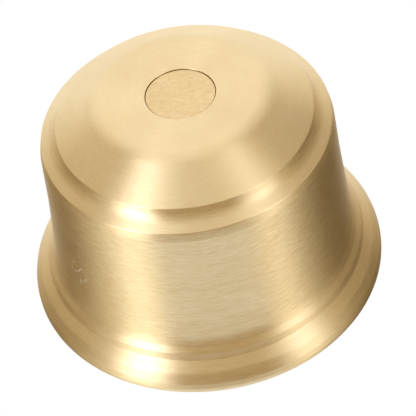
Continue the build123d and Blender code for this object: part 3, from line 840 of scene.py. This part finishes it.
def makeBody():
    k = bodyLook
    low, high, floor = k["ringGroove"]
    bore, outside, root = k["valveBore"], k["radius"], k["threadRoot"]
    body = lathe("valveBody", [
        (bore, 6.0, 0), (bore, k["seatFloor"], 0.1), (k["seatBore"], k["seatFloor"], 0.05),
        (k["seatBore"], k["chamberFloor"], 0.2), (k["chamber"], k["chamberFloor"], 0.6),
        (k["chamber"], k["top"], 0.15), (outside, k["top"], 0.25), (outside, high, 0.06),
        (floor, high, 0.12), (floor, low, 0.12), (outside, low, 0.06), (outside, k["shoulder"], 0.05),
        (root, k["threadTop"], 0.1), (root, k["threadBottom"], 0.05), (k["underEdge"], 0, 0.05),
        (bore + 0.3, 0, 0.05), (bore, 0.3, 0.05), (bore, 6.0, 0),
    ], steps=224)
    portOffset, portRoot, fixingRoot = k["portOffset"], k["portRoot"], k["fixingRoot"]
    portTop = k["portFloor"][1]
    port = [(0, -1, 0), (9.5, -1, 0), (portRoot, 0.17, 0), (portRoot, k["portThreadTop"], 0.2),
            (*k["portFloor"], 0)]
    (seatRadius, seatTop), (wellRadius, wellTop), (wayRadius, wayTop) = (
        k["strainerSeat"], k["inletWell"], k["outletWay"])
    inlet = port + [(seatRadius, portTop, 0), (seatRadius, seatTop, 0), (wellRadius, seatTop, 0),
                    (wellRadius, wellTop, 0.4), (0, wellTop, 0)]
    outlet = port + [(wayRadius, portTop, 0), (wayRadius, wayTop, 0), (0, wayTop, 0)]
    carve(body, lathe("inletCut", inlet, centre=(-portOffset, 0)),
          lathe("outletCut", outlet, centre=(portOffset, 0)))
    for turned in k["passageAngles"]:
        carve(body, crossDrill("passage", k["passageRadius"], k["passageHeight"], -portOffset, 0, turned))
    fixing = [(0, -1, 0), (3.3, -1, 0), (fixingRoot, 0.3, 0), (fixingRoot, k["fixingDepth"], 0),
              (0, k["fixingTip"], 0)]
    for y in (-k["fixingOffset"], k["fixingOffset"]):
        carve(body, lathe("fixingCut", fixing, steps=48, centre=(0, y)))
    ridges = [threadRidge("bodyThread", root, k["threadCrest"], k["pitch"], k["firstTurn"],
                          k["threadTurns"], steps=192)]
    for x in (-portOffset, portOffset):
        ridges.append(threadRidge("portThread", portRoot, k["portCrest"], k["portPitch"],
                                  k["portFirstTurn"], k["portTurns"], (x, 0), 84))
    for y in (-k["fixingOffset"], k["fixingOffset"]):
        ridges.append(threadRidge("fixingThread", fixingRoot, k["fixingCrest"], k["fixingPitch"],
                                  k["fixingFirstTurn"], k["fixingTurns"], (0, y), 32))
    joinTo(body, *ridges)
    finishPiece(body, "base", "base_body", turnedBrass)


makeBody()

seatLook = {"orifice": 2.6, "lip": 3.3, "lipBottom": 11.5, "lipFoot": 3.6, "shoulder": 12.0,
            "shank": 5.98, "ringGroove": (12.85, 13.75, 5.08), "shankTop": 14.02, "across": 12.4,
            "hexBottom": 14.0, "hexTop": 15.2}


def makeValveSeat():
    k = seatLook
    orifice, shank = k["orifice"], k["shank"]
    low, high, floor = k["ringGroove"]
    seat = lathe("valveSeat", [
        (orifice, 13.0, 0), (orifice, k["lipBottom"], 0.12), (k["lip"], k["lipBottom"], 0.12),
        (k["lipFoot"], k["shoulder"], 0.1), (shank, k["shoulder"], 0.15), (shank, low, 0.03),
        (floor, low, 0.05), (floor, high, 0.05), (shank, high, 0.03), (shank, k["shankTop"], 0),
        (orifice, k["shankTop"], 0), (orifice, 13.0, 0),
    ], steps=96)
    head = prism("seatHead", 6, k["across"] / math.sqrt(3), k["hexBottom"], k["hexTop"])
    # the form rubs off the head's upper corners
    form = lathe("headForm",
                 [(0, 13.9, 0), (7.3, 13.9, 0), (7.3, 14.85, 0), (6.05, 15.21, 0), (0, 15.21, 0)],
                 steps=72)
    carve(head, form, operation="INTERSECT")
    carve(head, prism("orifice", 64, orifice, 13, 16))
    joinTo(seat, head)
    finishPiece(seat, "base", "valve_seat", turnedBrass, 25)


makeValveSeat()

bottomLook = {"radius": 4.97, "bottom": 0.4, "top": 3.6, "ringGroove": (2.28, 3.22, 4.1), "socket": 4.0,
              "socketTop": 2.1}


def makeBottomPlug():
    k = bottomLook
    low, high, floor = k["ringGroove"]
    plug = lathe("bottomPlug", [
        (0, k["bottom"], 0), (k["radius"], k["bottom"], 0.3), (k["radius"], low, 0.04),
        (floor, low, 0.05), (floor, high, 0.05), (k["radius"], high, 0.04),
        (k["radius"], k["top"], 0.2), (0, k["top"], 0),
    ], steps=96)
    carve(plug, prism("socket", 6, k["socket"] / math.sqrt(3), -1, k["socketTop"]),
          lathe("mouth", [(0, -0.3, 0), (3.1, -0.3, 0), (2.0, 0.8, 0), (0, 0.8, 0)], steps=48))
    finishPiece(plug, "base", "bottom_plug", turnedBrass, 25)


makeBottomPlug()

strainerLook = {"centre": -14.2, "bottom": 9.2, "top": 9.6, "pitch": 1.5, "hole": 0.5,
                "meshRadius": 5.0, "edge": 6.55, "wall": 0.12}


def roundHole(tile, within):
    for point in tile.data.vertices:
        flat = point.co.xy
        if flat.length < within * mm:
            point.co.xy = flat.normalized() * strainerLook["hole"] * mm


def makeStrainer():
    # one six-sided tile with a round hole is copied over the disc, and a plain rim closes it
    k = strainerLook
    corner = k["pitch"] / math.sqrt(3)
    startClean()
    bpy.ops.mesh.primitive_circle_add(vertices=6, radius=corner * mm, fill_type="NGON",
                                      location=(0, 0, k["top"] * mm), rotation=(0, 0, math.pi / 6))
    tile = bpy.context.object
    nameIt(tile, "strainer")
    bpy.ops.object.transform_apply(location=True, rotation=True, scale=True)
    bpy.ops.object.mode_set(mode="EDIT")
    bpy.ops.mesh.select_all(action="SELECT")
    bpy.ops.mesh.inset(thickness=k["wall"] * mm, use_boundary=True)
    bpy.ops.mesh.delete(type="ONLY_FACE")
    bpy.ops.object.mode_set(mode="OBJECT")
    roundHole(tile, corner - 0.05)
    bpy.ops.object.mode_set(mode="EDIT")
    bpy.ops.mesh.select_all(action="SELECT")
    bpy.ops.mesh.subdivide(number_cuts=2)
    bpy.ops.object.mode_set(mode="OBJECT")
    roundHole(tile, k["hole"] + 0.01)
    tiles = []
    rowHeight = k["pitch"] * math.sqrt(3) / 2
    for row in range(-4, 5):
        for column in range(-4, 5):
            x, y = (column + row % 2 / 2) * k["pitch"], row * rowHeight
            if (row, column) != (0, 0) and math.hypot(x, y) < k["meshRadius"]:
                pickOnly(tile)
                bpy.ops.object.duplicate()
                copied = bpy.context.object
                copied.location = (x * mm, y * mm, 0)
                bpy.ops.object.transform_apply(location=True, rotation=True, scale=True)
                tiles.append(copied)
    joinTo(tile, *tiles)
    bpy.ops.object.mode_set(mode="EDIT")
    bpy.ops.mesh.select_all(action="SELECT")
    bpy.ops.mesh.remove_doubles(threshold=0.01 * mm)
    bpy.ops.mesh.normals_make_consistent(inside=False)
    bpy.ops.transform.translate(value=(k["centre"] * mm, 0, 0))
    bpy.ops.object.mode_set(mode="OBJECT")
    sheet = tile.modifiers.new("thickness", "SOLIDIFY")
    sheet.thickness = (k["top"] - k["bottom"]) * mm
    sheet.offset = -1 if tile.data.polygons[0].normal.z > 0 else 1
    bpy.ops.object.modifier_apply(modifier=sheet.name)
    inner, middle = k["meshRadius"], (k["bottom"] + k["top"]) / 2
    rim = lathe("strainerRim", [
        (inner, middle, 0), (inner, k["top"], 0.05), (k["edge"], k["top"], 0.08),
        (k["edge"], k["bottom"], 0.08), (inner, k["bottom"], 0.05), (inner, middle, 0),
    ], steps=96, centre=(k["centre"], 0))
    joinTo(tile, rim)
    finishPiece(tile, "base", "inlet_strainer", brightSteel)


clipLook = {"outer": 6.55, "inner": 5.5, "bottom": 8.5, "top": 9.15, "gap": 38}


def makeClip():
    k = clipLook
    middle = (k["bottom"] + k["top"]) / 2
    clip = lathe("strainerClip", [
        (k["inner"], middle, 0), (k["inner"], k["bottom"], 0.12), (k["outer"], k["bottom"], 0.12),
        (k["outer"], k["top"], 0.12), (k["inner"], k["top"], 0.12), (k["inner"], middle, 0),
    ], steps=96, centre=(strainerLook["centre"], 0), angle=360 - k["gap"], start=-90 + k["gap"] / 2)
    finishPiece(clip, "base", "strainer_clip", brightSteel)


makeStrainer()
makeClip()

# each level of the light tent lists (degrees round from the front, name of a tint); tints are brightnesses
studioLook = {
    "low": [
        (-180, "lowBack"), (-168, "lowBack"), (-152, "leftEdge"), (-138, "leftShade"),
        (-112, "leftShade"), (-88, "leftFade"), (-70, "leftLow"), (-48, "leftLow"), (-32, "panel"),
        (32, "panel"), (42, "rightLow"), (54, "rightLow"), (80, "rightFade"), (104, "rightShade"),
        (134, "rightShade"), (152, "rightEdge"), (168, "lowBack"), (180, "lowBack"),
    ],
    "middle": [
        (-180, "back"), (-156, "back"), (-132, "amber"), (-114, "brown"), (-88, "brown"), (-68, "glow"),
        (-55, "leftBox"), (-46, "leftBox"), (-31, "front"), (29, "front"), (43, "rightBox"),
        (52, "rightBox"), (66, "rightGlow"), (86, "umber"), (112, "umber"), (132, "amber"),
        (156, "back"), (180, "back"),
    ],
    "upper": [
        (-180, "back"), (-150, "back"), (-126, "rim"), (-92, "rim"), (-70, "glow"), (-54, "leftStar"),
        (-47, "leftStar"), (-32, "frontUp"), (29, "frontUp"), (45, "rightStar"), (53, "rightStar"),
        (66, "rightGlow"), (92, "rimRight"), (126, "rimRight"), (150, "back"), (180, "back"),
    ],
    "high": [
        (-180, "highBack"), (-140, "highBack"), (-112, "quarter"), (-94, "quarter"), (-70, "leftHigh"),
        (-46, "leftHigh"), (-26, "frontHigh"), (26, "frontHigh"), (48, "rightHigh"), (72, "rightHigh"),
        (98, "quarter"), (114, "quarter"), (140, "highBack"), (180, "highBack"),
    ],
    "tints": {
        "lowBack": (0.95, 1.15, 1.6, 1), "leftEdge": (0.50, 0.52, 0.55, 1),
        "leftShade": (0.22, 0.18, 0.12, 1), "leftFade": (0.85, 0.80, 0.70, 1),
        "leftLow": (1.05, 1.10, 1.12, 1), "panel": (1.10, 1.24, 1.52, 1),
        "rightLow": (1.0, 1.0, 0.98, 1), "rightFade": (0.42, 0.38, 0.30, 1),
        "rightShade": (0.12, 0.09, 0.06, 1), "rightEdge": (0.40, 0.42, 0.46, 1),
        "back": (1.12, 1.18, 1.30, 1), "amber": (0.66, 0.56, 0.42, 1), "brown": (0.36, 0.29, 0.19, 1),
        "umber": (0.27, 0.22, 0.14, 1), "glow": (0.72, 0.68, 0.62, 1),
        "rightGlow": (0.62, 0.56, 0.46, 1), "leftBox": (1.9, 2.0, 2.2, 1),
        "rightBox": (1.35, 1.35, 1.4, 1), "front": (0.33, 0.21, 0.06, 1), "rim": (0.66, 0.58, 0.46, 1),
        "rimRight": (0.46, 0.38, 0.26, 1), "leftStar": (4.6, 5.0, 6.6, 1),
        "rightStar": (2.3, 2.5, 3.2, 1), "frontUp": (0.50, 0.40, 0.24, 1),
        "highBack": (1.24, 1.23, 1.35, 1), "quarter": (0.50, 0.42, 0.31, 1),
        "leftHigh": (1.5, 1.6, 1.9, 1), "rightHigh": (1.15, 1.18, 1.18, 1),
        "frontHigh": (0.80, 0.79, 0.78, 1),
    },
    # between these slopes of the light's direction one level gives way to the next
    "changes": [("middle", -0.62, -0.25), ("upper", 0.15, 0.40), ("high", 0.56, 0.80)],
    "floorSize": 6, "floorHeight": -0.00002,
}


def tentLevel(tree, turn, stops):
    ramp = addNode(tree, "ShaderNodeValToRGB", {0: turn})
    band = ramp.color_ramp
    while len(band.elements) < len(stops):
        band.elements.new(0.5)
    for element, (degrees, tint) in zip(band.elements, stops):
        element.position = degrees / 360 + 0.5
        element.color = studioLook["tints"][tint]
    return ramp.outputs[0]


def makeStudio():
    world = bpy.context.scene.world or bpy.data.worlds.new("studio")
    bpy.context.scene.world = world
    world.use_nodes = True
    tree = world.node_tree
    background = tree.nodes["Background"]
    direction = tree.nodes.new("ShaderNodeTexCoord").outputs["Generated"]
    x, y, z = addNode(tree, "ShaderNodeSeparateXYZ", {0: direction}).outputs
    azimuth = math2(tree, "ARCTAN2", x, math2(tree, "MULTIPLY", y, -1.0))
    turn = math2(tree, "MULTIPLY_ADD", azimuth, 0.5 / math.pi, 0.5)
    light = tentLevel(tree, turn, studioLook["low"])
    for level, first, last in studioLook["changes"]:
        wall = tentLevel(tree, turn, studioLook[level])
        light = mixColour(tree, remap(tree, z, first, last, 0.0, 1.0), light, wall)
    seen = tree.nodes.new("ShaderNodeLightPath").outputs["Is Camera Ray"]
    tree.links.new(mixColour(tree, seen, light, (1, 1, 1, 1)), background.inputs["Color"])
    background.inputs["Strength"].default_value = 1.0
    bpy.context.scene.view_settings.view_transform = "Standard"


def makeFloor():
    # white paper, clear from below so that the underside can be seen
    startClean()
    bpy.ops.mesh.primitive_plane_add(size=studioLook["floorSize"],
                                     location=(0, 0, studioLook["floorHeight"]))
    floor = bpy.context.object
    nameIt(floor, "floor")
    floor.visible_glossy = False
    material = bpy.data.materials.new("palePaper")
    material.use_nodes = True
    tree = material.node_tree
    tree.nodes.remove(tree.nodes["Principled BSDF"])
    glow = addNode(tree, "ShaderNodeEmission", {"Color": (1, 1, 1, 1), "Strength": 1.0})
    clear = tree.nodes.new("ShaderNodeBsdfTransparent")
    under = tree.nodes.new("ShaderNodeNewGeometry").outputs["Backfacing"]
    both = addNode(tree, "ShaderNodeMixShader", {0: under, 1: glow.outputs[0], 2: clear.outputs[0]})
    tree.links.new(both.outputs[0], tree.nodes["Material Output"].inputs["Surface"])
    floor.data.materials.append(material)


makeStudio()
makeFloor()
print("studio lit")
